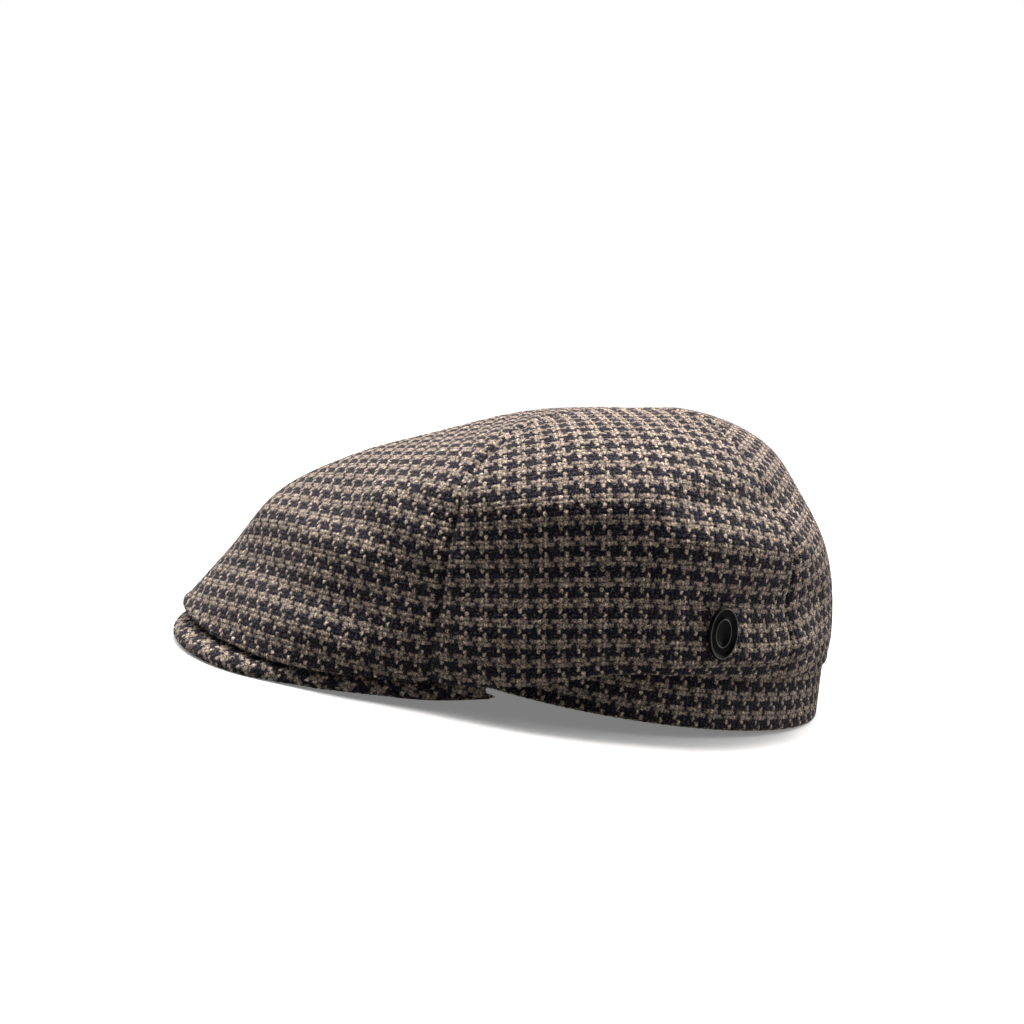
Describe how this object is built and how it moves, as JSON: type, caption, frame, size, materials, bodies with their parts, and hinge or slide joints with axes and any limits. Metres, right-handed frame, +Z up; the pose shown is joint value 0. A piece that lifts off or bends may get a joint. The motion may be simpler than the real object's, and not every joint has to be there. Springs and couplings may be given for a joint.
{
  "type": "flat cap",
  "caption": "Woven check flat cap with a rounded gored crown drawn down over a short stiff peak, a turned head band and a small oval pin at the side.",
  "frame": {"origin": "middle of the cap's footprint box, on the surface that it lies on", "axes": "+Z up, -Y towards the tip of the peak, +X towards the wearer's left, where the pin is"},
  "size_m": [0.1938, 0.2736, 0.1173],
  "materials": {
    "crown": "woolly plain weave of beige and dark navy yarns in a small star check, matt",
    "band": "the same woven check, matt, with a folded foot",
    "peak": "the same woven check drawn over a stiff board, matt",
    "pin": "dark gunmetal, satin"
  },
  "bodies": {
    "root": {"crown_front_left": "crown", "crown_front_right": "crown", "crown_side_left": "crown", "crown_side_right": "crown", "crown_back_left": "crown", "crown_back_right": "crown", "band": "band", "peak": "peak", "pin_badge": "pin"}
  },
  "joints": []
}
